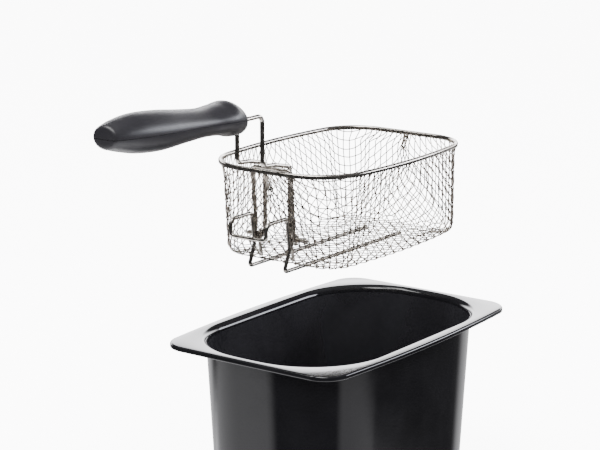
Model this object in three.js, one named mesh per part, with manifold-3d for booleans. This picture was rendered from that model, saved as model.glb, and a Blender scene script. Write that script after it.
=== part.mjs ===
// Removable oil pot and wire frying basket of a compact deep fryer.
//
// Millimetres, +Z up. The origin is the centre of the pot's underside, -Y is the handle side and
// X runs across the pot. The basket is held above the pot, as it is when it is lifted out.

import * as THREE from "three";
import { ParametricGeometry } from "three/addons/geometries/ParametricGeometry.js";
import { mergeVertices } from "three/addons/utils/BufferGeometryUtils.js";
import Module from "manifold-3d";

// ---- driving dimensions -------------------------------------------------------------------

const GAP = 0.3; // air between two pieces that touch

// Oil pot: pressed steel, enamelled
const POT_HEIGHT = 145;
const POT_WALL = 1.5;
const POT_TAPER = Math.tan(THREE.MathUtils.degToRad(3.2));
const POT_FLOOR_RADIUS = 15; // rounding between wall and floor
const MOUTH_RADIUS = 5.5; // rounding from the flange down into the wall
const LIP_DROP = 4; // the flange's edge turns down by this
const LIP_RADIUS = 1.8;
const FLANGE = { halfWidth: 91, halfLength: 135, longBow: 1290, shortBow: 6600, corner: 22.5 };
const MOUTH = { halfWidth: 82.7, halfLength: 129.6, longBow: 9000, shortBow: 332, corner: 70 };

// Basket: woven wire, clinched into a rolled rim
const BASKET_AT = new THREE.Vector3(0, -4.4, POT_HEIGHT + 70.7); // the middle of its floor
const RIM_HEIGHT = 76.5; // above the basket's floor
const RIM_RADIUS = 1.85;
const RIM_SHEET = 0.7;
const CORE_RADIUS = 0.85;
const RIM = {
  halfWidth: 70,
  halfLength: 101.4,
  longBow: 499,
  shortBow: 5000,
  corner: 36,
  frontCorner: 45,
};
const MESH_TOP = {
  halfWidth: 68,
  halfLength: 96.2,
  longBow: 520,
  shortBow: 5000,
  corner: 27,
  frontCorner: 40,
};
const MESH_FLOOR = {
  halfWidth: 64.4,
  halfLength: 93,
  longBow: 560,
  shortBow: 5000,
  corner: 22,
  frontCorner: 26,
};
const FLOOR_SHIFT = 4.7; // the floor's centre lies behind the rim's: the front wall leans in
const MESH_THICKNESS = 1.2;
const MESH_EDGE_RADIUS = 8; // rounding between the woven wall and floor
const FLARE_START = 66.3; // the wall leans out from here into the rim
const FLARE_END = 72.8;

// Wire forms on the basket's front wall
const HOOK_WIRE = 1.6; // radius
const BRACKET_WIRE = 1.4; // radius
const HOOK_X = 17.3;
const BRACKET_X = 17.3;
const ARM_HEIGHT = 39.9;
const HOOK_REACH = -122.2; // how far forward the drain hook stands
const HOOK_BAR_HEIGHT = 27;
const HOOK_LEG_HEIGHT = 14.3; // the legs lean forward below this, down to the feet
const FOOT_TIP = -98.6;
const RUNNER_HEIGHT = -2.5;
const RUNNER_END = 66;
const FOOT_BEND = 2.2;
const LEG_BEND = 5;
const ARM_BEND = 3;
const HOOK_BENDS = [6, 3.6]; // at the end of the arm, at the end of the bar
const PIVOT_HEIGHT = 20.9;
const POST_START = 4; // the post's straight run begins this far above the pivot
const POST_TOP = [-91.5, 77.2]; // y, z of the bar that the handle's bend rests on
const POST_FOOT = [-84.4, 4];
const POST_BEND = 3;

// Handle
const HANDLE_WIRE = 1.8; // radius
const HANDLE_X = 12.2;
const PIN_END = 28.5;
const LEG_Y = -119.8;
const HUMP_TOP = [-104, 83.7]; // y, z of the rise that clears the rim
const HUMP_OUTER = 85.1;
const HUMP_INNER = 79.2;
const HANDLE_TOP = 124.8;
const GRIP_NEAR = -134.6; // the end that the wire enters
const GRIP_LENGTH = 154.3;
const GRIP_RISE = 6.4; // how much higher the tip is than the wire's entry
const GRIP_WALL = 3;
const WIRE_DEPTH = 62; // how far the wire runs into the grip
const U_BEND = 10; // bend radius of the two corners at its inner end
const PIN_BEND = 3;
const HUMP_BENDS = [4.5, 14, 4.5]; // inner foot, top, outer foot
const TOP_BEND = 5.5;
const SCREW_STATIONS = [38, 96]; // along the grip, from the wire's end

// ---- booleans -----------------------------------------------------------------------------

const wasm = await Module();
wasm.setup();

function solid(geometry) {
  const bare = new THREE.BufferGeometry();
  const source = geometry.index ? geometry.toNonIndexed() : geometry;
  bare.setAttribute("position", source.getAttribute("position"));
  const merged = mergeVertices(bare, 1e-3);
  return new wasm.Manifold(
    new wasm.Mesh({
      numProp: 3,
      vertProperties: merged.attributes.position.array,
      triVerts: new Uint32Array(merged.index.array),
    }),
  );
}

function geometryOf(manifold) {
  const mesh = manifold.getMesh();
  const geometry = new THREE.BufferGeometry();
  geometry.setAttribute("position", new THREE.BufferAttribute(mesh.vertProperties, 3));
  geometry.setIndex(new THREE.BufferAttribute(mesh.triVerts, 1));
  geometry.computeVertexNormals();
  return geometry;
}

// ---- rounded outlines ---------------------------------------------------------------------

// A rectangle with bowed sides: two long arcs, two short arcs and a corner arc tangent to both.
// Every arc keeps its centre when the outline is offset, so an offset outline is exact.
function outlineArcs(o, corner) {
  const long = { x: o.halfWidth - o.longBow, r: o.longBow };
  const short = { y: o.halfLength - o.shortBow, r: o.shortBow };
  const reachLong = long.r - corner;
  const reachShort = short.r - corner;
  // the corner's centre is reachLong from (long.x, 0) and reachShort from (0, short.y)
  const span = Math.hypot(long.x, short.y);
  const along = (reachLong ** 2 - reachShort ** 2 + span ** 2) / (2 * span);
  const aside = Math.sqrt(reachLong ** 2 - along ** 2);
  const ux = -long.x / span;
  const uy = short.y / span;
  const cx = long.x + along * ux - aside * uy;
  const cy = along * uy + aside * ux;
  const low = Math.atan2(cy, cx - long.x);
  const high = Math.atan2(cy - short.y, cx);
  return [
    { x: long.x, y: 0, r: long.r, from: 0, to: low, steps: 2 },
    { x: cx, y: cy, r: corner, from: low, to: high, steps: 8 },
    { x: 0, y: short.y, r: short.r, from: high, to: Math.PI / 2, steps: 2 },
  ];
}

// A quarter of an outline, from +X to just short of +Y.
function outlineQuarter(o, corner) {
  const quarter = [];
  for (const arc of outlineArcs(o, corner)) {
    for (let i = 0; i < arc.steps; i++) {
      const a = THREE.MathUtils.lerp(arc.from, arc.to, i / arc.steps);
      const [nx, ny] = [Math.cos(a), Math.sin(a)];
      quarter.push({ x: arc.x + arc.r * nx, y: arc.y + arc.r * ny, nx, ny });
    }
  }
  return quarter;
}

// The outline's points, anticlockwise from +X, each with its outward direction.
function outlinePoints(o, shiftY = 0) {
  const rear = outlineQuarter(o, o.corner);
  const front = outlineQuarter(o, o.frontCorner ?? o.corner);
  const crown = { x: 0, y: o.halfLength, nx: 0, ny: 1 };
  const flip = (p, sx, sy) => ({ x: p.x * sx, y: p.y * sy, nx: p.nx * sx, ny: p.ny * sy });
  const reversed = (quarter) => quarter.slice(1).reverse();
  const all = [
    ...rear,
    crown,
    ...reversed(rear).map((p) => flip(p, -1, 1)),
    ...front.map((p) => flip(p, -1, -1)),
    flip(crown, 1, -1),
    ...reversed(front).map((p) => flip(p, 1, -1)),
  ];
  return all.map((p) => ({ ...p, y: p.y + shiftY }));
}

// A station of a shell: an outline's points moved out by offset, at height z.
const ring = (points, offset, z) => ({ points, offset, z });
const centre = (z) => ({ points: null, offset: 0, z });

// The surface through a list of stations. It runs anticlockwise seen from above, so the list goes
// from the underside's centre up the outside and down the inside, or round a closed section.
function shell(stations) {
  const count = stations.find((s) => s.points).points.length;
  const surface = (u, v, target) => {
    const s = stations[Math.round(v * (stations.length - 1))];
    if (!s.points) return target.set(0, 0, s.z);
    const p = s.points[Math.round(u * count) % count];
    return target.set(p.x + p.nx * s.offset, p.y + p.ny * s.offset, s.z);
  };
  return geometryOf(solid(new ParametricGeometry(surface, count, stations.length - 1)));
}

// Stations on a quarter circle or a part of one, in the plane of offset and z.
function fillet(points, offset, z, radius, fromDegrees, toDegrees, steps) {
  return Array.from({ length: steps + 1 }, (_, i) => {
    const a = THREE.MathUtils.degToRad(THREE.MathUtils.lerp(fromDegrees, toDegrees, i / steps));
    return ring(points, offset + radius * Math.cos(a), z + radius * Math.sin(a));
  });
}

// ---- bent wire ----------------------------------------------------------------------------

// A wire's centre line: straight runs joined by round bends. It has a station at each end of a
// run and a few on each bend, and the section is swept from station to station.
class WirePath extends THREE.Curve {
  constructor() {
    super();
    this.stations = [];
  }

  add(point, tangent) {
    this.stations.push({ point, tangent: tangent.clone().normalize() });
    return this;
  }

  // corners: [x, y, z, bendRadius], where the two ends need no radius
  through(corners, bendStep = 18) {
    const at = corners.map((c) => new THREE.Vector3(c[0], c[1], c[2]));
    for (let i = 0; i < at.length; i++) {
      const before = i > 0 ? at[i].clone().sub(at[i - 1]).normalize() : null;
      const after = i < at.length - 1 ? at[i + 1].clone().sub(at[i]).normalize() : null;
      if (!before || !after) this.add(at[i], before ?? after);
      else this.bend(at[i], before, after, corners[i][3], bendStep);
    }
    return this;
  }

  bend(corner, before, after, radius, bendStep) {
    const turn = before.angleTo(after);
    const start = corner.clone().addScaledVector(before, -radius * Math.tan(turn / 2));
    const axis = before.clone().cross(after).normalize();
    const hub = start.clone().addScaledVector(axis.clone().cross(before), radius);
    const steps = Math.max(2, Math.ceil(THREE.MathUtils.radToDeg(turn) / bendStep));
    for (let i = 0; i <= steps; i++) {
      const angle = (turn * i) / steps;
      const point = start.clone().sub(hub).applyAxisAngle(axis, angle).add(hub);
      this.add(point, before.clone().applyAxisAngle(axis, angle));
    }
  }

  at(t) {
    return this.stations[Math.round(t * (this.stations.length - 1))];
  }

  getPointAt(t, target = new THREE.Vector3()) {
    return target.copy(this.at(t).point);
  }

  getTangentAt(t, target = new THREE.Vector3()) {
    return target.copy(this.at(t).tangent);
  }
}

function wire(path, radius, sides = 8) {
  const section = new THREE.Shape(
    Array.from({ length: sides }, (_, i) => {
      const a = (2 * Math.PI * (i + 0.5)) / sides;
      return new THREE.Vector2(radius * Math.cos(a), radius * Math.sin(a));
    }),
  );
  return new THREE.ExtrudeGeometry(section, {
    steps: path.stations.length - 1,
    extrudePath: path,
    curveSegments: 1,
  });
}

const mirrored = (corners) => corners.map(([x, y, z, r]) => [-x, y, z, r]).reverse();

// ---- oil pot ------------------------------------------------------------------------------

function oilPot() {
  const flange = outlinePoints(FLANGE);
  const mouth = outlinePoints(MOUTH);
  const top = POT_HEIGHT;
  const bendZ = top - MOUTH_RADIUS;
  const floorBend = POT_FLOOR_RADIUS + POT_WALL;
  const wallAtFloor = -MOUTH_RADIUS - POT_TAPER * (bendZ - floorBend);
  const floorHub = wallAtFloor - POT_FLOOR_RADIUS;
  return shell([
    centre(0),
    ...fillet(mouth, floorHub, floorBend, floorBend, -90, 0, 4),
    ...fillet(mouth, 0, bendZ, MOUTH_RADIUS - POT_WALL, 180, 90, 3),
    ...fillet(flange, -LIP_RADIUS, top - LIP_RADIUS, LIP_RADIUS - POT_WALL, 90, 0, 1),
    ring(flange, -POT_WALL, top - LIP_DROP),
    ring(flange, 0, top - LIP_DROP),
    ...fillet(flange, -LIP_RADIUS, top - LIP_RADIUS, LIP_RADIUS, 0, 90, 3),
    ...fillet(mouth, 0, bendZ, MOUTH_RADIUS, 90, 180, 4),
    ...fillet(mouth, floorHub, floorBend, POT_FLOOR_RADIUS, 0, -90, 4),
    centre(POT_WALL),
  ]);
}

// ---- basket -------------------------------------------------------------------------------

// Where the woven front wall's middle lies at height z above the basket's floor.
function frontWall(z) {
  const share = (z - MESH_EDGE_RADIUS) / (FLARE_START - MESH_EDGE_RADIUS);
  return THREE.MathUtils.lerp(FLOOR_SHIFT - MESH_FLOOR.halfLength, -MESH_TOP.halfLength, share);
}

// One face of the woven sheet, from the floor's edge up into the rim.
function meshFace(side) {
  const half = (side * MESH_THICKNESS) / 2;
  const edge = MESH_EDGE_RADIUS;
  return [
    ...fillet(outlinePoints(MESH_FLOOR, FLOOR_SHIFT), -edge, edge, edge + half, -90, 0, 4),
    ring(outlinePoints(MESH_TOP), half, FLARE_START),
    ring(outlinePoints(RIM), half, FLARE_END),
    ring(outlinePoints(RIM), half, RIM_HEIGHT - CORE_RADIUS - GAP),
  ];
}

function wireMesh() {
  const half = MESH_THICKNESS / 2;
  return shell([centre(-half), ...meshFace(1), ...meshFace(-1).reverse(), centre(half)]);
}

// Sheet rolled over the mesh's edge: an upside-down U in section.
function rimStrip() {
  const rim = outlinePoints(RIM);
  const inner = RIM_RADIUS - RIM_SHEET;
  const hem = RIM_HEIGHT - RIM_RADIUS;
  const section = [
    ring(rim, inner, hem),
    ring(rim, RIM_RADIUS - RIM_SHEET / 4, hem + RIM_SHEET / 4),
    ...fillet(rim, 0, RIM_HEIGHT, RIM_RADIUS, 0, 180, 6),
    ring(rim, -RIM_RADIUS + RIM_SHEET / 4, hem + RIM_SHEET / 4),
    ring(rim, -inner, hem),
    ...fillet(rim, 0, RIM_HEIGHT, inner, 180, 0, 4),
  ];
  return shell([...section, section[0]]);
}

function rimCore() {
  const rim = outlinePoints(RIM);
  const section = fillet(rim, 0, RIM_HEIGHT, CORE_RADIUS, 0, 360, 6);
  return shell(section);
}

// One wire: a runner under the floor, a foot, a leg up the front wall, an arm out to the drain
// hook's bar, and the same again on the other side.
function drainHook() {
  const clear = MESH_THICKNESS / 2 + GAP + HOOK_WIRE;
  const half = [
    [HOOK_X, RUNNER_END, RUNNER_HEIGHT],
    [HOOK_X, FOOT_TIP, RUNNER_HEIGHT, FOOT_BEND],
    [HOOK_X, frontWall(HOOK_LEG_HEIGHT) - clear, HOOK_LEG_HEIGHT, LEG_BEND],
    [HOOK_X, frontWall(ARM_HEIGHT) - clear, ARM_HEIGHT, ARM_BEND],
    [HOOK_X, HOOK_REACH, ARM_HEIGHT, HOOK_BENDS[0]],
    [HOOK_X, HOOK_REACH, HOOK_BAR_HEIGHT, HOOK_BENDS[1]],
  ];
  return wire(new WirePath().through([...half, ...mirrored(half)]), HOOK_WIRE);
}

const LOOP_RADIUS = HANDLE_WIRE + GAP + BRACKET_WIRE;
const BRACKET_CLEAR = MESH_THICKNESS / 2 + GAP + BRACKET_WIRE;
const PIVOT_Y = frontWall(PIVOT_HEIGHT) + BRACKET_CLEAR + LOOP_RADIUS;

// One turn of wire about the pivot, stepping sideways by its own thickness, from the post above
// it at fromX to the post below it at toX.
function eyeStations(fromX, toX) {
  const turns = 18;
  return Array.from({ length: turns + 1 }, (_, i) => {
    const a = (2 * Math.PI * i) / turns;
    return {
      point: new THREE.Vector3(
        THREE.MathUtils.lerp(fromX, toX, i / turns),
        PIVOT_Y - LOOP_RADIUS * Math.cos(a),
        PIVOT_HEIGHT - LOOP_RADIUS * Math.sin(a),
      ),
      tangent: new THREE.Vector3(0, Math.sin(a), -Math.cos(a)),
    };
  });
}

// One wire inside the front wall: the foot of a post, an eye for the handle's pin, the rest of the
// post, a bar for the handle to rest on, and the same again on the other side.
function pivotBracket() {
  const upperX = BRACKET_X + BRACKET_WIRE + GAP / 2;
  const lowerX = BRACKET_X - BRACKET_WIRE - GAP / 2;
  const down = new THREE.Vector3(0, 0, -1);
  const side = (sign) => [
    ...eyeStations(sign * upperX, sign * lowerX),
    { point: new THREE.Vector3(sign * lowerX, ...POST_FOOT), tangent: down },
  ];
  const path = new WirePath();
  for (const s of side(-1).reverse()) path.add(s.point, s.tangent.clone().negate());
  path.through([
    [-upperX, PIVOT_Y - LOOP_RADIUS, PIVOT_HEIGHT + POST_START],
    [-upperX, ...POST_TOP, POST_BEND],
    [upperX, ...POST_TOP, POST_BEND],
    [upperX, PIVOT_Y - LOOP_RADIUS, PIVOT_HEIGHT + POST_START],
  ]);
  for (const s of side(1)) path.add(s.point, s.tangent);
  return wire(path, BRACKET_WIRE);
}

// ---- handle -------------------------------------------------------------------------------

// One wire: a pin, the inner leg, over the rim, the outer leg, into the grip, round, and back.
function handleWire() {
  const half = [
    [PIN_END, PIVOT_Y, PIVOT_HEIGHT],
    [HANDLE_X, PIVOT_Y, PIVOT_HEIGHT, PIN_BEND],
    [HANDLE_X, PIVOT_Y, HUMP_INNER, HUMP_BENDS[0]],
    [HANDLE_X, ...HUMP_TOP, HUMP_BENDS[1]],
    [HANDLE_X, LEG_Y, HUMP_OUTER, HUMP_BENDS[2]],
    [HANDLE_X, LEG_Y, HANDLE_TOP, TOP_BEND],
    [HANDLE_X, GRIP_NEAR - WIRE_DEPTH, HANDLE_TOP, U_BEND],
  ];
  return wire(new WirePath().through([...half, ...mirrored(half)]), HANDLE_WIRE);
}

// The channel that the wire lies in, in the grip's own frame.
function wireChannel() {
  const outside = GRIP_LENGTH / 8;
  const half = [
    [HANDLE_X, outside, 0],
    [HANDLE_X, -WIRE_DEPTH, 0, U_BEND],
  ];
  return solid(wire(new WirePath().through([...half, ...mirrored(half)]), HANDLE_WIRE + GAP));
}

// The grip's size along its length: [share of length, half height, half width, middle's height]
const GRIP_PROFILE = [
  [0.03, 10.2, 13.5, -1.6],
  [0.1, 13.9, 17.2, 1.0],
  [0.18, 12.1, 17.5, 1.9],
  [0.3, 11.1, 15.6, 2.3],
  [0.46, 12.8, 16.0, 3.2],
  [0.63, 15.1, 16.8, 4.3],
  [0.79, 14.8, 16.2, 6.0],
  [0.9, 12.2, 14.4, 7.0],
  [0.965, 9.7, 12.2, 7.3],
  [0.99, 8.3, 10.6, 7.2],
  [0.998, 5.6, 7.4, 6.8],
];

function gripCurve(column, ends) {
  const inside = GRIP_PROFILE.map((row) => new THREE.Vector2(row[0], row[column]));
  return new THREE.SplineCurve([
    new THREE.Vector2(0, ends[0]),
    ...inside,
    new THREE.Vector2(1, ends[1]),
  ]);
}

// A closed body with the grip's shape, drawn in by inset on every side. Its local frame has the
// wire's entry at the origin and its length along -Y.
function gripBody(inset, slices, stacks) {
  const heights = gripCurve(1, [0, 0]);
  const widths = gripCurve(2, [0, 0]);
  const middles = gripCurve(3, [0, GRIP_RISE]);
  const surface = (u, share, target) => {
    const along = inset + heights.getPoint(share).x * (GRIP_LENGTH - 2 * inset);
    const h = Math.max(heights.getPoint(share).y - inset, 0);
    const w = Math.max(widths.getPoint(share).y - inset, 0);
    const a = 2 * Math.PI * u;
    return target.set(w * Math.cos(a), -along, middles.getPoint(share).y + h * Math.sin(a));
  };
  return solid(new ParametricGeometry(surface, slices, stacks));
}

// A block on one side of the sloping parting plane, larger than half the grip.
function partingBlock(side) {
  const box = new THREE.BoxGeometry(GRIP_LENGTH, 2 * GRIP_LENGTH, GRIP_LENGTH);
  box.translate(0, -GRIP_LENGTH / 2, (side * (GRIP_LENGTH + GAP)) / 2);
  box.rotateX(-Math.atan2(GRIP_RISE, GRIP_LENGTH));
  return solid(box);
}

function screwAt(station, radius, from, to) {
  const shank = new THREE.CylinderGeometry(radius, radius, to - from, 12);
  shank.rotateX(Math.PI / 2).translate(0, -station, (from + to) / 2);
  return shank;
}

// Radii of the screws, their bosses' outside and where they end above the parting plane's start.
const SCREW = { shank: 1.5, head: 2.9, headHeight: 2.2, boss: 4.2, end: 7.5, seatDepth: 8 };
const THROUGH = 30; // beyond the grip's skin on either side

function gripShell(side) {
  let shape = gripBody(0, 28, 36).subtract(gripBody(GRIP_WALL, 20, 24));
  const inner = gripBody(GRIP_WALL - 1, 20, 24);
  for (const station of SCREW_STATIONS) {
    shape = shape.add(solid(screwAt(station, SCREW.boss, -THROUGH, THROUGH)).intersect(inner));
  }
  for (const station of SCREW_STATIONS) {
    const seat = screwSeat(station) + GAP;
    shape = shape.subtract(solid(screwAt(station, SCREW.shank + GAP, -THROUGH, SCREW.end + GAP)));
    shape = shape.subtract(solid(screwAt(station, SCREW.head + GAP, -THROUGH, seat)));
  }
  return geometryOf(shape.subtract(wireChannel()).intersect(partingBlock(side)));
}

// The height of the screw head's upper face.
function screwSeat(station) {
  return (GRIP_RISE * station) / GRIP_LENGTH - SCREW.seatDepth;
}

function gripScrew(station) {
  const seat = screwSeat(station);
  const shank = solid(screwAt(station, SCREW.shank, seat - SCREW.headHeight / 2, SCREW.end));
  const head = solid(screwAt(station, SCREW.head, seat - SCREW.headHeight, seat));
  return geometryOf(head.add(shank));
}

// ---- assembly -----------------------------------------------------------------------------

function finish(color, roughness, metalness) {
  return new THREE.MeshStandardMaterial({ color, roughness, metalness });
}

function piece(name, geometry, material) {
  const mesh = new THREE.Mesh(geometry, material);
  mesh.name = name;
  return mesh;
}

const enamel = () => finish(0x1b1b1d, 0.12, 0.0);
const nickel = () => finish(0xb9b3a8, 0.22, 1.0);
const plastic = () => finish(0x3b3b40, 0.5, 0.0);
const zinc = () => finish(0x9a9c9e, 0.4, 1.0);

const basket = new THREE.Group();
basket.position.copy(BASKET_AT);
basket.add(
  piece("wire_mesh", wireMesh(), nickel()),
  piece("rim_strip", rimStrip(), nickel()),
  piece("rim_core_wire", rimCore(), nickel()),
  piece("drain_hook", drainHook(), nickel()),
  piece("pivot_bracket", pivotBracket(), nickel()),
);

const grip = new THREE.Group();
grip.position.set(0, GRIP_NEAR, HANDLE_TOP);
grip.add(
  piece("grip_upper", gripShell(1), plastic()),
  piece("grip_lower", gripShell(-1), plastic()),
  ...SCREW_STATIONS.map((s, i) => piece(`grip_screw_${i + 1}`, gripScrew(s), zinc())),
);

const handle = new THREE.Group();
handle.add(piece("handle_wire", handleWire(), nickel()), grip);
basket.add(handle);

const group = new THREE.Group();
group.add(piece("oil_pot", oilPot(), enamel()), basket);

export default group;
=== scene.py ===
"""Looks for the oil pot and wire frying basket of a compact deep fryer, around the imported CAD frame.

Shapes are worked out in millimetres in the row frame, with the same driving sizes as the CAD source,
and turned into metres where a mesh is made.
"""

import math

import bmesh
import bpy
import numpy as np
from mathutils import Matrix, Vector


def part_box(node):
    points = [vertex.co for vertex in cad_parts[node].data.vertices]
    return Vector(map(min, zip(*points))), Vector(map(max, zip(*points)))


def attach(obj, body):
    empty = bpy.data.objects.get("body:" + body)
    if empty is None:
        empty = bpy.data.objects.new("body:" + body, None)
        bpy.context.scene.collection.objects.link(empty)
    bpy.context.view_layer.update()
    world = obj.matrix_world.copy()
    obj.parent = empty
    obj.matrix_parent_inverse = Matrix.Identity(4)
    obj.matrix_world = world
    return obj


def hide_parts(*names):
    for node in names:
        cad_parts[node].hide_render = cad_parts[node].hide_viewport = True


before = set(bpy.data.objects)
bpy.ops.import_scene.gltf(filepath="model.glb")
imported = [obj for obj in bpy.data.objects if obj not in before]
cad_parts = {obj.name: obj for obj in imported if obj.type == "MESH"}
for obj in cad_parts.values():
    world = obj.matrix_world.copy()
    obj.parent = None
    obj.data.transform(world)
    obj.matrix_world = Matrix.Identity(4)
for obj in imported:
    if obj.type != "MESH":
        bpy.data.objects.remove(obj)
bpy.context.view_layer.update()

MM = 0.001
GAP = 0.3  # left between pieces that would touch
SEAM = 1e-6  # metres within which two points are one

# ---- sizes, as in the CAD source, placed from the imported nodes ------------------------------

POT_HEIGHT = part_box("oil_pot")[1].z / MM
POT_WALL = 1.5
POT_TAPER = math.tan(math.radians(3.2))
POT_FLOOR_RADIUS = 15
MOUTH_RADIUS = 5.5
LIP_DROP = 4
LIP_RADIUS = 1.8

MESH_HALF = 0.6
FLOOR_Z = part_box("wire_mesh")[0].z / MM + MESH_HALF
BASKET_Y = -4.4
RIM_HEIGHT = 76.5
RIM_RADIUS = 1.85
RIM_SHEET = 0.7
FLOOR_SHIFT = 4.7
EDGE_RADIUS = 8
FLARE_START = 66.3
FLARE_END = 72.8

HOOK_WIRE = 1.6
BRACKET_WIRE = 1.4
HANDLE_WIRE = 1.8


class Outline:
    """A rectangle with bowed sides and rounded corners, centred on (0, shift)."""

    def __init__(self, half_width, half_length, long_bow, short_bow, corner, front=None, shift=0.0):
        self.size = (half_width, half_length)
        self.bows = (long_bow, short_bow)
        self.shift = shift
        self.arcs = {1: self.quarter_arcs(corner), -1: self.quarter_arcs(front or corner)}

    def quarter_arcs(self, corner):
        (half_width, half_length), (long_bow, short_bow) = self.size, self.bows
        long_x = half_width - long_bow
        short_y = half_length - short_bow
        reach_long = long_bow - corner
        reach_short = short_bow - corner
        span = math.hypot(long_x, short_y)
        along = (reach_long**2 - reach_short**2 + span**2) / (2 * span)
        aside = math.sqrt(reach_long**2 - along**2)
        ux, uy = -long_x / span, short_y / span
        cx = long_x + along * ux - aside * uy
        cy = along * uy + aside * ux
        low = math.atan2(cy, cx - long_x)
        high = math.atan2(cy - short_y, cx)
        return (
            (long_x, 0.0, long_bow, 0.0, low),
            (cx, cy, corner, low, high),
            (0.0, short_y, short_bow, high, math.pi / 2),
        )

    def at(self, t, offset=0.0):
        """The point at t, and its outward direction. t runs from 0 to 12, three to a quarter:
        half a long side, a corner, half a short side, and back."""
        t %= 12.0
        quarter = int(t // 3)
        local = t - 3 * quarter
        if quarter % 2:
            local = 3 - local
        sx = 1 if quarter in (0, 3) else -1
        sy = 1 if quarter in (0, 1) else -1
        part = min(int(local), 2)
        x, y, radius, start, end = self.arcs[sy][part]
        a = start + (end - start) * (local - part)
        nx, ny = math.cos(a), math.sin(a)
        px = (x + (radius + offset) * nx) * sx
        py = (y + (radius + offset) * ny) * sy + self.shift
        return np.array((px, py)), np.array((nx * sx, ny * sy))


FLANGE = Outline(91, 135, 1290, 6600, 22.5)
MOUTH = Outline(82.7, 129.6, 9000, 332, 70)
RIM = Outline(70, 101.4, 499, 5000, 36, 45, BASKET_Y)
MESH_TOP = Outline(68, 96.2, 520, 5000, 27, 40, BASKET_Y)
MESH_FLOOR = Outline(64.4, 93, 560, 5000, 22, 26, BASKET_Y + FLOOR_SHIFT)


def lerp(a, b, t):
    return a + (b - a) * t


def smooth(t):
    t = min(max(t, 0.0), 1.0)
    return t * t * (3 - 2 * t)


def cubic(start, end, leaving, arriving, w):
    """The point at w, from 0 to 1, of the cubic with these ends and these slopes at them."""
    curved = (2 * start - 2 * end + leaving + arriving) * w**3
    curved = curved + (-3 * start + 3 * end - 2 * leaving - arriving) * w**2
    return curved + leaving * w + start


# ---- meshes --------------------------------------------------------------------------------


def add_object(name, data):
    """A new object in the scene."""
    made = bpy.data.objects.new(name, data)
    bpy.context.scene.collection.objects.link(made)
    return made


def solid_mesh(name, verts, faces):
    """A mesh from points in millimetres, its seams merged and its faces turned outward."""
    mesh = bpy.data.meshes.new(name)
    mesh.from_pydata((np.asarray(verts) * MM).tolist(), [], faces)
    bm = bmesh.new()
    bm.from_mesh(mesh)
    bmesh.ops.remove_doubles(bm, verts=bm.verts, dist=SEAM)
    bmesh.ops.recalc_face_normals(bm, faces=bm.faces)
    bm.to_mesh(mesh)
    bm.free()
    return mesh


def shade(mesh, sharp):
    """Smooth shading, except over edges that turn by more than sharp degrees."""
    mesh.shade_smooth()
    mesh.set_sharp_from_angle(angle=math.radians(sharp))


def recoat(node_name, material):
    """Gives a CAD node that is kept its material."""
    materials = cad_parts[node_name].data.materials
    materials.clear()
    materials.append(material)


def make_piece(name, verts, faces, material, body, nodes, sharp=40):
    """A closed smooth-shaded mesh from points in millimetres, riding on its body."""
    mesh = solid_mesh(name, verts, faces)
    shade(mesh, sharp)
    mesh.materials.append(material)
    piece = add_object(name, mesh)
    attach(piece, body)
    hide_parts(*nodes)
    return piece


def grid_faces(rows, columns, closed_rows=False):
    """Quads between rows of points, each row a closed ring of columns points."""
    faces = []
    for i in range(rows if closed_rows else rows - 1):
        a = i * columns
        b = ((i + 1) % rows) * columns
        for j in range(columns):
            k = (j + 1) % columns
            faces.append((a + j, a + k, b + k, b + j))
    return faces


def spaced(long_steps, corner_steps, short_steps):
    """Values of an outline's t, once round."""
    half = np.concatenate(
        (
            np.arange(long_steps) / long_steps,
            1 + np.arange(corner_steps) / corner_steps,
            2 + np.arange(short_steps) / short_steps,
        )
    )
    back = 6 - np.concatenate((half[1:], [3.0]))[::-1]
    whole = np.concatenate((half, back))
    return np.concatenate((whole, whole + 6))


def ring(outline, ts, offset, z):
    return np.array([(*outline.at(t, offset)[0], z) for t in ts])


def fillet(outline, ts, offset, z, radius, start, end, steps):
    """Rings round a part of a circle in the plane of offset and height."""
    angles = np.radians(np.linspace(start, end, steps + 1))
    return [ring(outline, ts, offset + radius * math.cos(a), z + radius * math.sin(a)) for a in angles]


def loft(rings, low=None, high=None, closed_section=False):
    """Vertices and faces of the skin through rings, with a fan to a centre at either end."""
    columns = len(rings[0])
    verts = list(np.concatenate(rings))
    faces = grid_faces(len(rings), columns, closed_rows=closed_section)
    for centre, start in ((low, 0), (high, (len(rings) - 1) * columns)):
        if centre is None:
            continue
        verts.append(np.array(centre))
        tip = len(verts) - 1
        faces += [(tip, start + j, start + (j + 1) % columns) for j in range(columns)]
    return verts, faces


# ---- bent wire -------------------------------------------------------------------------------

DOME_HEIGHT = 0.7  # of a wire's end, as a share of its radius
DOME_OPEN = 0.6  # how far the last ring stays from the dome's top, in steps


def unit(v):
    return v / np.linalg.norm(v)


def turned(v, axis, angle):
    c, s = math.cos(angle), math.sin(angle)
    return v * c + np.cross(axis, v) * s + axis * np.dot(axis, v) * (1 - c)


def bent(corners, step=7.5, run=9.0):
    """Points along straight runs joined by round bends. A corner is (x, y, z, bend radius)."""
    at = [np.array(c[:3], float) for c in corners]
    points = [at[0]]
    for i in range(1, len(at) - 1):
        before, after = unit(at[i] - at[i - 1]), unit(at[i + 1] - at[i])
        turn = math.acos(np.clip(np.dot(before, after), -1, 1))
        radius = corners[i][3]
        start = at[i] - before * radius * math.tan(turn / 2)
        axis = unit(np.cross(before, after))
        hub = start + np.cross(axis, before) * radius
        steps = max(3, math.ceil(math.degrees(turn) / step))
        points += [hub + turned(start - hub, axis, turn * k / steps) for k in range(steps + 1)]
    points.append(at[-1])
    filled = [points[0]]
    for p in points[1:]:
        gap = np.linalg.norm(p - filled[-1])
        count = max(1, math.ceil(gap / run))
        start = filled[-1]
        filled += [lerp(start, p, k / count) for k in range(1, count + 1)]
    return np.array(filled)


def mirrored(corners):
    return [(-c[0], *c[1:]) for c in reversed(corners)]


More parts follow.
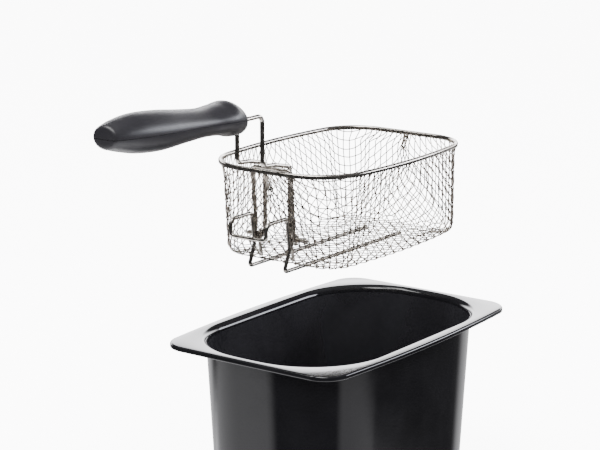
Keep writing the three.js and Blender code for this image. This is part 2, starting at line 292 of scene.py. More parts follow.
def tube(points, radius, sides=16, dome=3):
    """A round wire along points, with domed ends."""
    points = np.asarray(points, float)
    tangents = np.gradient(points, axis=0)
    tangents /= np.linalg.norm(tangents, axis=1)[:, None]
    helper = np.array((0, 0, 1.0)) if abs(tangents[0][2]) < 0.9 else np.array((1.0, 0, 0))
    side = unit(np.cross(tangents[0], helper))
    angles = 2 * np.pi * np.arange(sides) / sides
    rows = []

    def section(centre, tangent, scale):
        other = np.cross(tangent, side)
        circle = np.outer(np.cos(angles), side) + np.outer(np.sin(angles), other)
        rows.append(centre + circle * radius * scale)

    for k in range(dome, 0, -1):
        a = math.pi / 2 * k / (dome + DOME_OPEN)
        centre = points[0] - tangents[0] * radius * DOME_HEIGHT * math.sin(a)
        section(centre, tangents[0], math.cos(a))
    for point, tangent in zip(points, tangents):
        side = unit(side - tangent * np.dot(side, tangent))
        section(point, tangent, 1.0)
    for k in range(1, dome + 1):
        a = math.pi / 2 * k / (dome + DOME_OPEN)
        centre = points[-1] + tangents[-1] * radius * DOME_HEIGHT * math.sin(a)
        section(centre, tangents[-1], math.cos(a))
    low = points[0] - tangents[0] * radius * DOME_HEIGHT
    high = points[-1] + tangents[-1] * radius * DOME_HEIGHT
    return loft(rows, low, high)


def in_basket(points):
    """Points in the basket's own frame, put in the row frame."""
    return np.asarray(points) + np.array((0, BASKET_Y, FLOOR_Z))


# ---- materials -------------------------------------------------------------------------------


class Nodes:
    """A material's nodes, added one by one."""

    def __init__(self, name):
        self.material = bpy.data.materials.new(name)
        self.material.use_nodes = True
        self.tree = self.material.node_tree
        self.shader = self.tree.nodes["Principled BSDF"]
        self.place = self.add("ShaderNodeTexCoord").outputs["Object"]

    def add(self, kind, **values):
        node = self.tree.nodes.new(kind)
        for key, value in values.items():
            setattr(node, key, value)
        return node

    def link(self, out, into):
        self.tree.links.new(out, into)

    def noise(self, scale, detail=3.0, rough=0.5):
        node = self.add("ShaderNodeTexNoise")
        node.inputs["Scale"].default_value = scale
        node.inputs["Detail"].default_value = detail
        node.inputs["Roughness"].default_value = rough
        self.link(self.place, node.inputs["Vector"])
        return node.outputs["Fac"]

    def ramp(self, value, stops):
        node = self.add("ShaderNodeValToRGB")
        elements = node.color_ramp.elements
        for index, (place, colour) in enumerate(stops):
            element = elements[index] if index < 2 else elements.new(place)
            element.position = place
            red_green_blue = colour if isinstance(colour, tuple) else (colour,) * 3
            element.color = (*red_green_blue, 1)
        self.link(value, node.inputs["Fac"])
        return node.outputs["Color"]

    def bump(self, height, strength, distance_mm, under=None):
        node = self.add("ShaderNodeBump")
        node.inputs["Strength"].default_value = strength
        node.inputs["Distance"].default_value = distance_mm * MM
        self.link(height, node.inputs["Height"])
        if under is not None:
            self.link(under, node.inputs["Normal"])
        return node.outputs["Normal"]

    def set(self, **sockets):
        for name, value in sockets.items():
            socket = self.shader.inputs[name.replace("_", " ")]
            if isinstance(value, bpy.types.NodeSocket):
                self.link(value, socket)
            else:
                socket.default_value = value
        return self.material


def enamel_material(name, grey, low, high):
    """Black vitreous enamel: a deep gloss over a faint orange peel, with dust-fine pits."""
    n = Nodes(name)
    dark, light = (tuple(grey * share * tone for tone in (1.0, 0.99, 1.13)) for share in (0.8, 1.2))
    peel = n.noise(160, 2.0)
    pits = n.ramp(n.noise(1500, 1.0), [(0.30, 0.0), (0.36, 1.0)])
    colour = n.ramp(n.noise(22, 4.0), [(0.3, dark), (0.7, light)])
    rough = n.ramp(n.noise(45, 5.0, 0.6), [(0.3, low), (0.75, high)])
    under = n.bump(peel, 0.05, 0.2)
    return n.set(
        Base_Color=colour,
        Roughness=rough,
        Specular_IOR_Level=0.5,
        Normal=n.bump(pits, 0.05, 0.02, under),
    )


def plated_material(name, tint, low, high, bumps):
    """Nickel-plated steel wire: a bright warm metal, unevenly polished, with fine draw marks."""
    n = Nodes(name)
    dark = tuple(c * 0.5 for c in tint)
    colour = n.ramp(n.noise(240, 5.0, 0.65), [(0.38, dark), (0.6, tint)])
    rough = n.ramp(n.noise(260, 3.0), [(0.3, low), (0.75, high)])
    waves = n.bump(n.noise(190, 2.0), bumps, 0.15)
    return n.set(
        Base_Color=colour,
        Metallic=1.0,
        Roughness=rough,
        Normal=n.bump(n.noise(2600, 1.0), 0.08, 0.03, waves),
    )


def plastic_material():
    """Dark grey moulded plastic with a fine spark-eroded grain."""
    n = Nodes("grip_plastic")
    dark, light = (0.0098, 0.0094, 0.0116), (0.0132, 0.0127, 0.0154)
    colour = n.ramp(n.noise(38, 4.0), [(0.3, dark), (0.7, light)])
    rough = n.ramp(n.noise(500, 2.0), [(0.3, 0.32), (0.7, 0.42)])
    wide = n.bump(n.noise(90, 2.0), 0.04, 0.3)
    return n.set(
        Base_Color=colour,
        Roughness=rough,
        Specular_IOR_Level=0.44,
        Normal=n.bump(n.noise(2400, 2.0), 0.16, 0.04, wide),
    )


def screw_material():
    """Zinc-plated screw: dull, with fine turning marks."""
    n = Nodes("screw_steel")
    dark, light = (0.40, 0.41, 0.43), (0.55, 0.55, 0.56)
    colour = n.ramp(n.noise(400, 3.0), [(0.3, dark), (0.7, light)])
    rough = n.ramp(n.noise(900, 2.0), [(0.3, 0.3), (0.7, 0.45)])
    turning = n.bump(n.noise(1800), 0.15, 0.03)
    return n.set(Base_Color=colour, Metallic=1.0, Roughness=rough, Normal=turning)


def floor_material():
    n = Nodes("studio_floor")
    colour = n.ramp(n.noise(1.5, 2.0), [(0.3, 0.90), (0.7, 0.92)])
    return n.set(
        Base_Color=colour,
        Roughness=0.75,
        Specular_IOR_Level=0.1,
        Emission_Color=(1.0, 1.0, 1.0, 1.0),
        Emission_Strength=8.0,
    )


ENAMEL = enamel_material("enamel", 0.0058, 0.05, 0.11)
# The pot's inside: a rougher enamel whose lighter grey is painted fill light, standing in for light that
# the deep inside lacks.
INNER_PAINTED_FILL_ENAMEL = enamel_material("inner_enamel_painted_fill", 0.0145, 0.16, 0.28)
PLATED = plated_material("plated_wire", (0.66, 0.62, 0.565), 0.15, 0.27, 0.3)
MESH_WIRE = plated_material("mesh_wire", (0.52, 0.47, 0.41), 0.22, 0.34, 0.3)
PLASTIC = plastic_material()
SCREW = screw_material()

# ---- camera, floor and light --------------------------------------------------------------

CAMERA_BACK = Vector((0.5734, -0.7862, 0.2303)).normalized()
CAMERA_PLACE = Vector((0.95784, -1.37165, 0.48002 + POT_HEIGHT * MM))
SENSOR_WIDTH = 36
LENS = 124.71
MIDDLE = (0, -0.1, 0.3)  # where the lights point

FLOOR_HALF = 14.0
FLOOR_LOW = -0.0002  # just under the pot's underside


def aim(thing, direction):
    """Turns a camera or a light to look along direction."""
    thing.rotation_mode = "QUATERNION"
    thing.rotation_quaternion = direction.to_track_quat("-Z", "Y")


def make_camera():
    data = bpy.data.cameras.new("camera")
    data.sensor_width = SENSOR_WIDTH
    data.lens = LENS
    data.clip_start, data.clip_end = 0.05, 80
    camera = add_object("camera", data)
    camera.location = CAMERA_PLACE
    aim(camera, -CAMERA_BACK)
    bpy.context.scene.camera = camera


def area_light(name, place, size, power, colour=(1, 1, 1)):
    data = bpy.data.lights.new(name, "AREA")
    data.shape = "RECTANGLE"
    data.size, data.size_y = size
    data.energy = power
    data.color = colour
    light = add_object(name, data)
    light.location = place
    aim(light, Vector(MIDDLE) - Vector(place))


def compass(degrees):
    """A level direction, by its angle from +X towards +Y."""
    return (math.cos(math.radians(degrees)), math.sin(math.radians(degrees)), 0)


class Sky:
    """The world's shader: an even white for diffuse light, and a shaped studio in reflections."""

    def __init__(self):
        world = bpy.data.worlds.new("studio")
        bpy.context.scene.world = world
        world.use_nodes = True
        self.tree = world.node_tree
        self.background = self.tree.nodes["Background"]
        self.direction = self.tree.nodes.new("ShaderNodeTexCoord").outputs["Generated"]

    def math(self, operation, a, b):
        node = self.tree.nodes.new("ShaderNodeMath")
        node.operation = operation
        for socket, value in zip(node.inputs, (a, b)):
            if isinstance(value, (int, float)):
                socket.default_value = value
            else:
                self.tree.links.new(value, socket)
        return node.outputs["Value"]

    def toward(self, axis, start, end):
        """0 to 1 as the direction's share along axis goes from start to end."""
        dot = self.tree.nodes.new("ShaderNodeVectorMath")
        dot.operation = "DOT_PRODUCT"
        dot.inputs[1].default_value = axis
        self.tree.links.new(self.direction, dot.inputs[0])
        share = self.tree.nodes.new("ShaderNodeMapRange")
        share.interpolation_type = "SMOOTHSTEP"
        share.inputs["From Min"].default_value = start
        share.inputs["From Max"].default_value = end
        self.tree.links.new(dot.outputs["Value"], share.inputs["Value"])
        return share.outputs["Result"]

    def patch(self, strength, *shares):
        """Light of this strength where all the shares are 1."""
        value = strength
        for share in shares:
            value = self.math("MULTIPLY", share, value)
        return value

    def reflected(self):
        """A bright backdrop behind, a white table that ends on the near side, and darkness."""
        up = (0, 0, 1)
        leaning = (0.11, 0, 1)
        behind = self.toward(compass(120), 0.45, 0.75)
        left = self.toward(compass(-165), 0.46, 0.7)
        right = self.toward(compass(22), 0.68, 0.8)
        backdrop = self.patch(9.0, self.toward(up, 0.08, 0.25), behind, self.toward(up, 0.42, 0.24))
        overhead = self.patch(0.3, self.toward(up, 0.5, 0.95))
        table_behind = self.patch(1.3, self.toward(up, -0.19, -0.26), behind)
        table_left = self.patch(1.4, self.toward(leaning, -0.45, -0.475), left)
        table_right = self.patch(0.9, self.toward(up, -0.385, -0.42), right)
        table_below = self.patch(2.4, self.toward(up, -0.55, -0.72))
        total = 0.04
        for part in (backdrop, overhead, table_behind, table_left, table_right, table_below):
            total = self.math("ADD", part, total)
        return total

    def make(self, even, seen):
        """even is the strength that lights dull surfaces, and seen is what the camera sees."""
        rays = self.tree.nodes.new("ShaderNodeLightPath").outputs
        glossy, camera = rays["Is Glossy Ray"], rays["Is Camera Ray"]
        shaped = self.math("MULTIPLY", self.reflected(), glossy)
        plain = self.math("MULTIPLY", self.math("SUBTRACT", 1.0, glossy), even)
        white = self.math("MULTIPLY", camera, seen - even)
        strength = self.math("ADD", self.math("ADD", shaped, plain), white)
        self.tree.links.new(strength, self.background.inputs["Strength"])
        self.background.inputs["Color"].default_value = (0.98, 0.975, 1.0, 1)


def make_floor():
    """A large glowing pale plane, as a light table. It neither lights the object nor shows in its
    gloss; the sky and the two area lights do that."""
    signs = ((-1, -1), (1, -1), (1, 1), (-1, 1))
    corners = [(x * FLOOR_HALF, y * FLOOR_HALF, FLOOR_LOW) for x, y in signs]
    mesh = bpy.data.meshes.new("floor")
    mesh.from_pydata(corners, [], [(0, 1, 2, 3)])
    mesh.materials.append(floor_material())
    floor = add_object("floor", mesh)
    floor.visible_glossy = False
    floor.visible_diffuse = False


make_camera()
Sky().make(2.6, 9.0)
make_floor()
area_light("overhead", (-0.2, -0.75, 2.15), (2.0, 0.9), 60)
area_light("side", (1.35, 1.65, 0.75), (1.1, 0.6), 29, (0.90, 0.92, 1.0))

# ---- oil pot ---------------------------------------------------------------------------------

BEND_STEPS = 12
EDGE_STEPS = 8


def oil_pot():
    """The pressed pot, its section lofted round from the underside's middle to the floor's."""
    ts = spaced(8, 30, 12)
    bend = POT_HEIGHT - MOUTH_RADIUS
    floor_bend = POT_FLOOR_RADIUS + POT_WALL
    hub = -MOUTH_RADIUS - POT_TAPER * (bend - floor_bend) - POT_FLOOR_RADIUS
    lip = POT_HEIGHT - LIP_RADIUS
    inner_lip = LIP_RADIUS - POT_WALL
    edge = POT_HEIGHT - LIP_DROP
    round_edge = POT_WALL / 2
    rings = [
        *fillet(MOUTH, ts, hub, floor_bend, floor_bend, -90, 0, BEND_STEPS),
        *fillet(MOUTH, ts, 0, bend, MOUTH_RADIUS - POT_WALL, 180, 90, EDGE_STEPS),
        *fillet(FLANGE, ts, -LIP_RADIUS, lip, inner_lip, 90, 0, 2),
        *fillet(FLANGE, ts, -round_edge, edge + round_edge, round_edge, -180, 0, EDGE_STEPS),
        *fillet(FLANGE, ts, -LIP_RADIUS, lip, LIP_RADIUS, 0, 90, EDGE_STEPS),
        *fillet(MOUTH, ts, 0, bend, MOUTH_RADIUS, 90, 180, BEND_STEPS),
        *fillet(MOUTH, ts, hub, floor_bend, POT_FLOOR_RADIUS, 0, -90, BEND_STEPS),
    ]
    verts, faces = loft(rings, (0, 0, 0), (0, 0, POT_WALL))
    pot = make_piece("pot", verts, faces, ENAMEL, "pot", ["oil_pot"], sharp=60)
    # The inside wall and floor get the lighter enamel: painted fill light on the pot's shaded inside.
    pot.data.materials.append(INNER_PAINTED_FILL_ENAMEL)
    for face in pot.data.polygons:
        x, y, z = face.center / MM
        outward = x * face.normal.x + y * face.normal.y
        on_wall = outward < 0 and z < bend
        on_floor = abs(z - POT_WALL) < 0.1
        face.material_index = int((on_wall or on_floor) and z > POT_WALL / 2)


oil_pot()

# ---- woven basket ------------------------------------------------------------------------------

# The mesh is a square weave laid corner to corner over the tray's shape. Its wires keep their
# length between crossings, so the squares stay square at the basket's corners and close up to
# tall diamonds on its walls. A little seeded unevenness is added at the end.

PITCH = 7.5
FINE_WIRE = 0.45
WEAVE = 0.36
LOCKED = 2.6  # the narrowest that a diamond closes
TRAY_HALF = (66.4, 94.8)  # half width and half length of a plain upright tray
TRAY_CORNER = 34.0
TRAY_CORE = np.array(TRAY_HALF) - TRAY_CORNER  # the centre of its corner
SHEET_HEIGHT = RIM_HEIGHT - 1.0
UNROLL_END = 260  # how far along its crossing wires a leaning wire is worked out
UNROLL_SAMPLES = 1200
SETTLED_HEIGHT = 1.15 * SHEET_HEIGHT  # crossings above this are left out of the settling
CUT_HEIGHT = SHEET_HEIGHT + 0.8 * PITCH  # wires end at their last crossing below this
SETTLING_STEPS = 60
SEED = 4711
OVERSHOOT = 1.3  # how much of its move a crossing makes in a step
SLOPE = 0.42  # a wire's slope at a crossing, as a share of the line between its neighbours
UNEVEN = 0.22  # standard deviation of the seeded unevenness
FLOOR_BLEND = (30, 20)  # where the floor starts to curve to its edge, and over what length
FLARE = 0.75  # how far the sheet's top goes from the wall's outline to the rim's


def flat_lattice():
    """Where the crossings lie on the flat sheet: an array over both wire numbers."""
    far = sum(TRAY_HALF) + 2.2 * SHEET_HEIGHT  # past the top of the unfolded corners
    reach = int(far / (math.sqrt(2) * PITCH)) + 1
    numbers = np.arange(-reach, reach + 1)
    i, j = np.meshgrid(numbers, numbers, indexing="ij")
    return np.stack(((i + j), (i - j)), -1) * PITCH / math.sqrt(2)


def tray_side(points):
    """Distance outside the tray's outline, and the nearest point on it, for x and y."""
    beyond = np.abs(points) - TRAY_CORE
    corner = np.maximum(beyond, 0)
    length = np.linalg.norm(corner, axis=-1)
    inner = np.minimum(np.max(beyond, axis=-1), 0)
    outside = length + inner - TRAY_CORNER
    to_side = beyond[..., 0] > beyond[..., 1]
    flat = np.stack((to_side, ~to_side), -1).astype(float)
    safe = np.maximum(length, 1e-9)[..., None]
    away = np.where((length > 0)[..., None], corner / safe, flat) * np.where(points < 0, -1.0, 1.0)
    return outside, points - away * outside[..., None]


def wire_lean(a, straight):
    """How far a wire leans from upright on the unrolled wall, by its crossing wire's distance a from
    the centre of the corner it climbs to. straight is half the straight part of the wall."""
    radius = TRAY_CORNER
    turn = radius / math.sqrt(2)
    from_other = a + math.sqrt(2) * straight
    leaving = math.pi / 2 - np.arcsin(np.clip(from_other / radius, 0, 1))
    arriving = np.arccos(np.clip(a / radius, 0, 1))
    lean = np.where(a > turn, arriving, math.pi / 4)
    return np.where(from_other < turn, leaving, lean)


def unrolled(a1, a2, straight):
    """Place along and up the wall of a crossing whose wires are a1 and a2 from the two corners."""
    scale = np.linspace(-1.5 * straight, UNROLL_END, UNROLL_SAMPLES)
    lean = wire_lean(scale, straight)
    step = scale[1] - scale[0]
    aside = np.cumsum(np.sin(lean)) * step
    rise = np.cumsum(np.cos(lean)) * step
    aside -= np.interp(0, scale, aside)
    rise -= np.interp(0, scale, rise)
    along = np.interp(a1, scale, aside) - np.interp(a2, scale, aside)
    height = np.interp(a1, scale, rise) + np.interp(a2, scale, rise)
    return along, straight - TRAY_CORNER + height


def wall_guess(out, along, straight):
    """The same for a flat point: out from the corner centre's line, along from the wall's middle."""
    a1 = (out + along - straight) / math.sqrt(2)
    a2 = (out - along - straight) / math.sqrt(2)
    return unrolled(a1, a2, straight)


def fold_up(flat):
    """The net of inextensible wires that each corner's middle wire climbs straight."""
    radius = TRAY_CORNER
    cx, cy = TRAY_CORE
    x, y = np.abs(flat[..., 0]), np.abs(flat[..., 1])
    long_along, long_up = wall_guess(x - cx, y, cy)
    short_along, short_up = wall_guess(y - cy, x, cx)
    long_turn = np.maximum(long_along - cy, 0) / radius
    short_turn = math.pi / 2 - np.maximum(short_along - cx, 0) / radius
    on_long = x - cx > y - cy
    turn = np.where(on_long, long_turn, short_turn)
    up = np.where(on_long, long_up, short_up)
    wall_x = np.where(on_long, cx, np.minimum(short_along, cx)) + radius * np.cos(turn)
    wall_y = np.where(on_long, np.minimum(long_along, cy), cy) + radius * np.sin(turn)
    signs = np.where(flat < 0, -1.0, 1.0)
    wall = np.stack((wall_x * signs[..., 0], wall_y * signs[..., 1], np.maximum(up, 0)), -1)
    floor = np.concatenate((flat, np.zeros((*x.shape, 1))), -1)
    return np.where((tray_side(flat)[0] > 0)[..., None], wall, floor)


def onto_tray(points):
    outside, nearest = tray_side(points[..., :2])
    on_floor = (np.abs(points[..., 2]) < -outside)[..., None]
    floor = points * (1, 1, 0)
    wall = np.concatenate((nearest, np.maximum(points[..., 2:], 0)), -1)
    return np.where(on_floor, floor, wall)


class Settling:
    """The lattice while it slides over the tray until its wires have their length again."""

    def __init__(self, points, kept):
        self.points = points
        self.kept = kept

    def pull(self, first, second, length, only_push=False):
        """Adds the moves that bring neighbours to their distance."""
        gap = self.points[second] - self.points[first]
        size = np.linalg.norm(gap, axis=-1, keepdims=True)
        error = size - length
        if only_push:
            error = np.minimum(error, 0)
        both = (self.kept[first] & self.kept[second])[..., None]
        move = both * gap / np.maximum(size, 1e-6) * error / 2
        self.total[first] += move
        self.total[second] -= move
        weight = both * (error != 0)
        self.count[first] += weight
        self.count[second] += weight

    def step(self):
        low, high, whole = slice(None, -1), slice(1, None), slice(None)
        self.total = np.zeros_like(self.points)
        self.count = np.zeros((*self.kept.shape, 1))
        self.pull((low, whole), (high, whole), PITCH)
        self.pull((whole, low), (whole, high), PITCH)
        self.pull((low, low), (high, high), LOCKED, True)
        self.pull((low, high), (high, low), LOCKED, True)
        moved = self.points + OVERSHOOT * self.total / np.maximum(self.count, 1)
        middle = tuple(size // 2 for size in self.kept.shape)
        moved[middle] = 0
        self.points = onto_tray(moved)

    def run(self):
        for _ in range(SETTLING_STEPS):
            self.step()
        return self.points


def tray_t(points):
    """An outline's t for points on the plain tray's walls."""
    x, y = np.abs(points[..., 0]), np.abs(points[..., 1])
    cx, cy = TRAY_CORE
    turn = np.arctan2(np.maximum(y - cy, 0), np.maximum(x - cx, 0)) / (math.pi / 2)
    on_long = (y <= cy) & (x >= cx)
    on_short = (x <= cx) & (y >= cy)
    quarter = np.where(on_long, y / cy, np.where(on_short, 3 - x / cx, 1 + turn))
    t = np.where(points[..., 0] < 0, 6 - quarter, quarter)
    return np.where(points[..., 1] < 0, 12 - t, t)


def sheet_point(t, climb, out):
    """A point of the basket's wall, by its distance up the sheet. Below EDGE_RADIUS it is on the
    rounded edge, and below -EDGE_RADIUS on the floor. out moves it off the sheet."""
    if climb < EDGE_RADIUS:
        a = math.pi / 4 * (1 + max(climb / EDGE_RADIUS, -1))
        offset = -EDGE_RADIUS + (EDGE_RADIUS + out) * math.sin(a) + min(climb + EDGE_RADIUS, 0)
        z = EDGE_RADIUS - (EDGE_RADIUS + out) * math.cos(a)
        return np.array((*MESH_FLOOR.at(t, offset)[0], FLOOR_Z + z))
    if climb < FLARE_START:
        share = (climb - EDGE_RADIUS) / (FLARE_START - EDGE_RADIUS)
        low, high = MESH_FLOOR, MESH_TOP
    else:
        share = FLARE * min((climb - FLARE_START) / (FLARE_END - FLARE_START), 1.0)
        low, high = MESH_TOP, RIM
    place = lerp(low.at(t, out)[0], high.at(t, out)[0], share)
    return np.array((*place, FLOOR_Z + climb))


def on_basket(point, out):
    """A point of the plain tray, moved to the basket's real shape."""
    outside = float(tray_side(point[:2])[0])
    climb = point[2] if point[2] > 0 else outside
    t = float(tray_t(tray_side(point[:2])[1]))
    if climb > 0:
        return sheet_point(t, climb, out)
    scale = np.array(MESH_FLOOR.size) / TRAY_HALF
    flat = np.array((*(point[:2] * scale + (0, MESH_FLOOR.shift)), FLOOR_Z - out))
    edge = smooth((climb + FLOOR_BLEND[0]) / FLOOR_BLEND[1])
    if edge == 0:
        return flat
    return lerp(flat, sheet_point(t, climb, out), edge)


def wire_runs(line, inside):
    """The stretches of a wire that lie below the rim."""
    runs, run = [], []
    for number, point in enumerate(line):
        if inside[number]:
            run.append((number, point))
            continue
        if len(run) > 1:
            runs.append(run)
        run = []
    if len(run) > 1:
        runs.append(run)
    return runs


def curve_through(points, steps):
    """A smooth line through points."""
    found = []
    last = len(points) - 1
    for k in range(last):
        a, b = points[max(k - 1, 0)], points[k]
        c, d = points[k + 1], points[min(k + 2, last)]
        leaving, arriving = (c - a) * SLOPE, (d - b) * SLOPE
        found += [cubic(b, c, leaving, arriving, k / steps) for k in range(steps)]
    found.append(points[-1])
    return np.array(found)


def basket_wire(run, side, steps=4):
    """A fine wire over and under the ones it crosses."""
    smooth_line = curve_through([point for _, point in run], steps)
    start = run[0][0]
    points = []
    for k, point in enumerate(smooth_line):
        out = side * WEAVE * math.cos(math.pi * (start + k / steps))
        if point[2] > SHEET_HEIGHT:
            point = point * (1, 1, 0) + (0, 0, SHEET_HEIGHT)
        points.append(on_basket(point, out))
    return points


def woven_wires():
    """Every fine wire of the basket as a line of points, under and over in turn."""
    flat = flat_lattice()
    guess = fold_up(flat)
    kept = guess[..., 2] < SETTLED_HEIGHT
    points = Settling(guess, kept).run()
    chance = np.random.default_rng(SEED)
    points += chance.normal(0, UNEVEN, points.shape)
    points = onto_tray(points)
    inside = kept & (points[..., 2] < CUT_HEIGHT)
    wires = []
    for number in range(points.shape[0]):
        sign = 1 if number % 2 else -1
        for run in wire_runs(points[number], inside[number]):
            wires.append(basket_wire(run, sign))
        for run in wire_runs(points[:, number], inside[:, number]):
            wires.append(basket_wire(run, -sign))
    return wires


def join_tubes(lines, radius, sides, dome=0):
    """Many thin wires as one mesh."""
    verts, faces = [], []
    for line in lines:
        v, f = tube(line, radius, sides, dome)
        base = len(verts)
        verts += v
        faces += [tuple(i + base for i in face) for face in f]
    return verts, faces


def woven_basket():
    verts, faces = join_tubes(woven_wires(), FINE_WIRE, sides=5)
    make_piece("woven_mesh", verts, faces, MESH_WIRE, "basket", ["wire_mesh"], sharp=180)


woven_basket()


def rim_strip():
    """The strip rolled over the mesh's top edge, open below."""
    ts = spaced(24, 20, 16)
    inner = RIM_RADIUS - RIM_SHEET
    z = FLOOR_Z + RIM_HEIGHT
    hem = z - RIM_RADIUS
    quarter = RIM_SHEET / 4
    rings = [
        ring(RIM, ts, inner, hem),
        ring(RIM, ts, RIM_RADIUS - quarter, hem + quarter),
        *fillet(RIM, ts, 0, z, RIM_RADIUS, 0, 180, 14),
        ring(RIM, ts, -RIM_RADIUS + quarter, hem + quarter),
        ring(RIM, ts, -inner, hem),
        *fillet(RIM, ts, 0, z, inner, 180, 0, 8),
    ]
    verts, faces = loft(rings, closed_section=True)
    make_piece("rolled_rim", verts, faces, PLATED, "basket", ["rim_strip"], sharp=50)


rim_strip()
recoat("rim_core_wire", PLATED)

# ---- wire forms on the front wall ---------------------------------------------------------------

HOOK_X = 17.3
BRACKET_X = 17.3
ARM_HEIGHT = 39.9
HOOK_REACH = -122.2
HOOK_BAR_HEIGHT = 27
HOOK_LEG_HEIGHT = 14.3
FOOT_TIP = -98.6
RUNNER_HEIGHT = -2.5
RUNNER_END = 66
PIVOT_HEIGHT = 20.9
POST_START = 4
POST_TOP = (-91.5, 77.2)
POST_FOOT = (-84.4, 4)
LOOP_RADIUS = HANDLE_WIRE + GAP + BRACKET_WIRE


def front_wall(z):
    """The place along Y of the basket's front wall at height z, in the basket's frame."""
    share = (z - EDGE_RADIUS) / (FLARE_START - EDGE_RADIUS)
    return lerp(FLOOR_SHIFT - MESH_FLOOR.size[1], -MESH_TOP.size[1], share)


PIVOT_Y = front_wall(PIVOT_HEIGHT) + MESH_HALF + GAP + BRACKET_WIRE + LOOP_RADIUS


def drain_hook():
    """One bent wire: the hook's bar and arms, two legs, and two runners under the floor."""
    clear = MESH_HALF + GAP + HOOK_WIRE
    half = [
        (HOOK_X, RUNNER_END, RUNNER_HEIGHT),
        (HOOK_X, FOOT_TIP, RUNNER_HEIGHT, 2.2),
        (HOOK_X, front_wall(HOOK_LEG_HEIGHT) - clear, HOOK_LEG_HEIGHT, 5),
        (HOOK_X, front_wall(ARM_HEIGHT) - clear, ARM_HEIGHT, 3),
        (HOOK_X, HOOK_REACH, ARM_HEIGHT, 6),
        (HOOK_X, HOOK_REACH, HOOK_BAR_HEIGHT, 3.6),
    ]
    verts, faces = tube(in_basket(bent(half + mirrored(half))), HOOK_WIRE)
    make_piece("drain_hook_wire", verts, faces, PLATED, "basket", ["drain_hook"])


def eye(from_x, to_x, steps=40):
    """One turn of wire round the pivot."""
    points = []
    for i in range(steps + 1):
        a = 2 * math.pi * i / steps
        x = lerp(from_x, to_x, i / steps)
        points.append((x, PIVOT_Y - LOOP_RADIUS * math.cos(a), PIVOT_HEIGHT - LOOP_RADIUS * math.sin(a)))
    return points


def pivot_bracket():
    """One bent wire inside the front wall: two posts, a crossbar and two wound eyes."""
    upper = BRACKET_X + BRACKET_WIRE + GAP / 2
    lower = BRACKET_X - BRACKET_WIRE - GAP / 2
    over = bent(
        [
            (-upper, PIVOT_Y - LOOP_RADIUS, PIVOT_HEIGHT + POST_START),
            (-upper, *POST_TOP, 3),
            (upper, *POST_TOP, 3),
            (upper, PIVOT_Y - LOOP_RADIUS, PIVOT_HEIGHT + POST_START),
        ]
    )
    left = [(-lower, *POST_FOOT), *eye(-upper, -lower)[::-1]]
    right = [*eye(upper, lower), (lower, *POST_FOOT)]
    points = in_basket([*left, *over.tolist(), *right])
    verts, faces = tube(points, BRACKET_WIRE)
    make_piece("pivot_bracket_wire", verts, faces, PLATED, "basket", ["pivot_bracket"])


drain_hook()
pivot_bracket()

# ---- handle --------------------------------------------------------------------------------------

HANDLE_X = 12.2
PIN_END = 28.5
LEG_Y = -119.8
HUMP_TOP = (-104, 83.7)
HUMP_OUTER = 85.1
HUMP_INNER = 79.2
HANDLE_TOP = 124.8
GRIP_NEAR = -134.6
GRIP_LENGTH = 154.3
GRIP_RISE = 6.4
WIRE_DEPTH = 62
U_BEND = 10
SCREW_STATIONS = (38, 96)
SCREW_SEAT = 8
SCREW_HEAD = 2.9
SCREW_SHANK = 1.5
CUT_REACH = 40  # well past the grip's skin
CUT_OVERLAP = 1
GRIP_SHARP = 50


def handle_wire():
    """One bent wire: pins in the eyes, a hump over the rim, and a U inside the grip."""
    half = [
        (PIN_END, PIVOT_Y, PIVOT_HEIGHT),
        (HANDLE_X, PIVOT_Y, PIVOT_HEIGHT, 3),
        (HANDLE_X, PIVOT_Y, HUMP_INNER, 4.5),
        (HANDLE_X, *HUMP_TOP, 14),
        (HANDLE_X, LEG_Y, HUMP_OUTER, 4.5),
        (HANDLE_X, LEG_Y, HANDLE_TOP, 5.5),
        (HANDLE_X, GRIP_NEAR - WIRE_DEPTH, HANDLE_TOP, U_BEND),
    ]
    verts, faces = tube(in_basket(bent(half + mirrored(half))), HANDLE_WIRE, sides=20)
    make_piece("handle_bent_wire", verts, faces, PLATED, "handle", ["handle_wire"])


handle_wire()

# Rows of share of the length, half height, half width and middle's height. The half heights and
# middles from 0.1 to 0.99 are from another program's fit to the photo's outline of the grip, the
# first six as it printed them. That is an open fault.
GRIP_PROFILE = np.array(
    [
        (0.0, 0.0, 0.0, 0.0),
        (0.03, 10.2, 13.5, -1.6),
        (0.1, 13.9, 17.2, 1.0),
        (0.18, 12.1, 17.5, 1.9),
        (0.3, 11.1, 15.6, 2.3),
        (0.46, 12.8, 16.0, 3.2),
        (0.63, 15.1, 16.8, 4.3),
        (0.79, 14.8, 16.2, 6.0),
        (0.9, 12.2, 14.4, 7.0),
        (0.965, 9.7, 12.2, 7.3),
        (0.99, 8.3, 10.6, 7.2),
        (0.998, 5.6, 7.4, 6.8),
        (1.0, 0.0, 0.0, GRIP_RISE),
    ]
)


def grip_at(t):
    """The profile's row at t from 0 to 1, on a smooth curve through its rows."""
    last = len(GRIP_PROFILE) - 1
    place = t * last
    i = min(int(place), last - 1)
    before, start, end, after = (GRIP_PROFILE[min(max(k, 0), last)] for k in range(i - 1, i + 3))
    return cubic(start, end, (end - before) / 2, (after - start) / 2, place - i)


def grip_sections(sign):
    """Sections across one moulded half, each from one edge of the parting plane to the other."""
    first, dense_end, last = 0.004, 0.1, 0.996
    dense = np.linspace(first, dense_end, 10)[:-1]
    stations = np.concatenate((dense, np.linspace(dense_end, last, 80)))
    columns = 40
    sections = []
    for t in stations:
        share, high, wide, middle = grip_at(t)
        along = share * GRIP_LENGTH
        plane = GRIP_RISE * share + sign * GAP / 2
        start = math.asin(np.clip((plane - middle) / max(high, 0.01), -0.95, 0.95))
        a0, a1 = (start, math.pi - start) if sign > 0 else (start, -math.pi - start)
        row = []
        for k in range(columns + 1):
            a = lerp(a0, a1, k / columns)
            row.append((wide * math.cos(a), -along, middle + high * math.sin(a)))
        sections.append(row)
    return sections


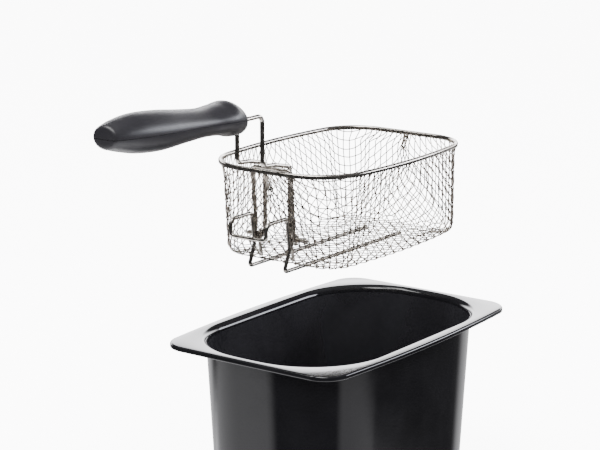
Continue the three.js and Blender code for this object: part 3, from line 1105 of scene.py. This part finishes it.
def grip_piece(sign, name, node):
    sections = np.array(grip_sections(sign))
    count, columns = sections.shape[:2]
    verts = sections.reshape(-1, 3)
    faces = []
    for i in range(count - 1):
        for j in range(columns - 1):
            a = i * columns + j
            faces.append((a, a + 1, a + columns + 1, a + columns))
        first, last = i * columns, i * columns + columns - 1
        faces.append((first, first + columns, last + columns, last))
    faces.append(tuple(range(columns)))
    faces.append(tuple((count - 1) * columns + j for j in range(columns)))
    verts = in_basket(verts + np.array((0, GRIP_NEAR, HANDLE_TOP)))
    return make_piece(name, verts, faces, PLASTIC, "handle", [node], GRIP_SHARP)


def rod(centre, radius, low, high, sides=40):
    """An upright closed rod, in the basket's frame, for cutting."""
    angles = 2 * np.pi * np.arange(sides) / sides
    circle = np.stack((np.cos(angles), np.sin(angles), 0 * angles), -1) * radius
    rings = [circle + (*centre, z) for z in (low, high)]
    verts, faces = loft(rings)
    faces += [tuple(range(sides)), tuple(range(sides, 2 * sides))]
    return add_object("cutter", solid_mesh("cutter", in_basket(verts), faces))


def cut(piece, cutter):
    """Takes the cutter's shape out of the piece, and removes the cutter."""
    change = piece.modifiers.new("cut", "BOOLEAN")
    change.operation = "DIFFERENCE"
    change.solver = "EXACT"
    change.object = cutter
    graph = bpy.context.evaluated_depsgraph_get()
    mesh = bpy.data.meshes.new_from_object(piece.evaluated_get(graph))
    piece.modifiers.remove(change)
    piece.data = mesh
    shade(mesh, GRIP_SHARP)
    bpy.data.objects.remove(cutter)


def screw_seats(piece):
    """The two round wells under the grip, and the screws' own clearance."""
    for station in SCREW_STATIONS:
        centre = (0, GRIP_NEAR - station)
        seat = HANDLE_TOP + GRIP_RISE * station / GRIP_LENGTH - SCREW_SEAT + GAP
        cut(piece, rod(centre, SCREW_HEAD + GAP, seat - CUT_REACH, seat))
        cut(piece, rod(centre, SCREW_SHANK + GAP, seat - CUT_OVERLAP, seat + CUT_REACH))


grip_piece(1, "grip_top", "grip_upper")
screw_seats(grip_piece(-1, "grip_bottom", "grip_lower"))

for screw in ("grip_screw_1", "grip_screw_2"):
    recoat(screw, SCREW)
